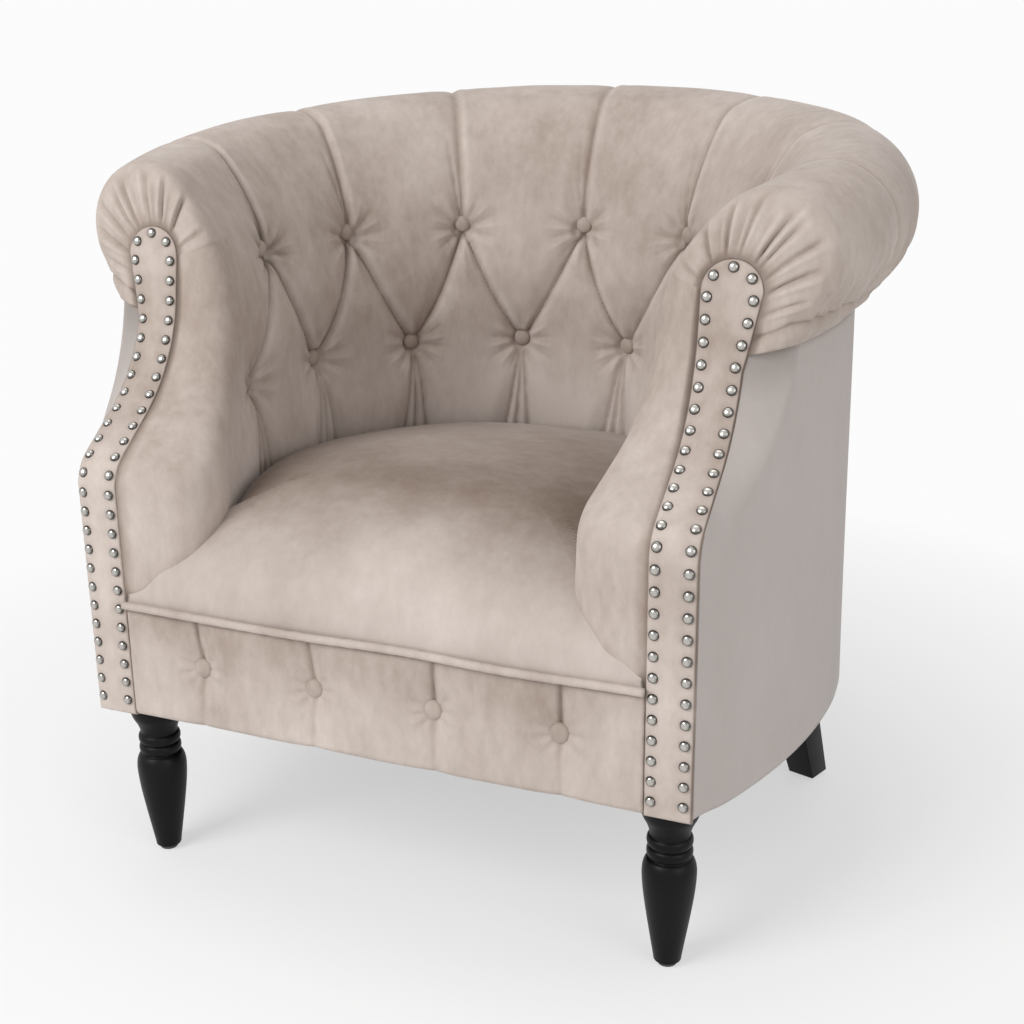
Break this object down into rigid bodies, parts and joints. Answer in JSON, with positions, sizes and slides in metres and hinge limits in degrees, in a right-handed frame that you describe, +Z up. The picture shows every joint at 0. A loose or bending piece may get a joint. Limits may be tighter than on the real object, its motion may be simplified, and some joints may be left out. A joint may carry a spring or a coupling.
{
  "type": "club chair",
  "caption": "Barrel-backed velvet club chair with a rolled, button-tufted back, nailhead arm facings, tight crowned seat, turned front legs and splayed rear legs.",
  "frame": {"origin": "on the floor, under the middle of the chair's outer box", "axes": "+Z up, +X to the sitter's left, the chair faces -Y"},
  "size_m": [0.8384, 0.7518, 0.7683],
  "materials": {
    "velvet": "short-pile velvet, brushed nap",
    "foam": "cut upholstery foam",
    "felt": "needled felt",
    "dust_cloth": "thin black non-woven cloth",
    "nail_silver": "polished nickel",
    "black_wood": "satin black lacquer",
    "frame_wood": "bare sawn timber and plywood",
    "fibreboard": "thin bent fibreboard",
    "spring_steel": "oiled spring wire",
    "zinc_steel": "zinc plated",
    "nylon": "moulded glide"
  },
  "bodies": {
    "root": {"tufted_back_pad": "velvet", "outside_cover": "velvet", "left_arm_facing": "velvet", "right_arm_facing": "velvet", "seat_cushion": "velvet", "seat_welt": "velvet", "front_apron": "velvet", "upper_back_buttons": "velvet", "lower_back_buttons": "velvet", "apron_buttons": "velvet", "seat_foam": "foam", "seat_deck": "felt", "dust_cover": "dust_cloth", "left_nailheads": "nail_silver", "right_nailheads": "nail_silver", "front_left_leg": "black_wood", "front_right_leg": "black_wood", "rear_left_leg": "black_wood", "rear_right_leg": "black_wood", "base_plate": "frame_wood", "front_rail": "frame_wood", "left_side_rail": "frame_wood", "right_side_rail": "frame_wood", "back_rail": "frame_wood", "front_left_corner_block": "frame_wood", "front_right_corner_block": "frame_wood", "rear_left_corner_block": "frame_wood", "rear_right_corner_block": "frame_wood", "back_uprights": "frame_wood", "top_hoop": "frame_wood", "left_arm_former": "frame_wood", "right_arm_former": "frame_wood", "shell_liner": "fibreboard", "seat_springs": "spring_steel", "spring_clips": "spring_steel", "leg_bolts": "zinc_steel", "tee_nuts": "zinc_steel", "leg_glides": "nylon"}
  },
  "joints": []
}
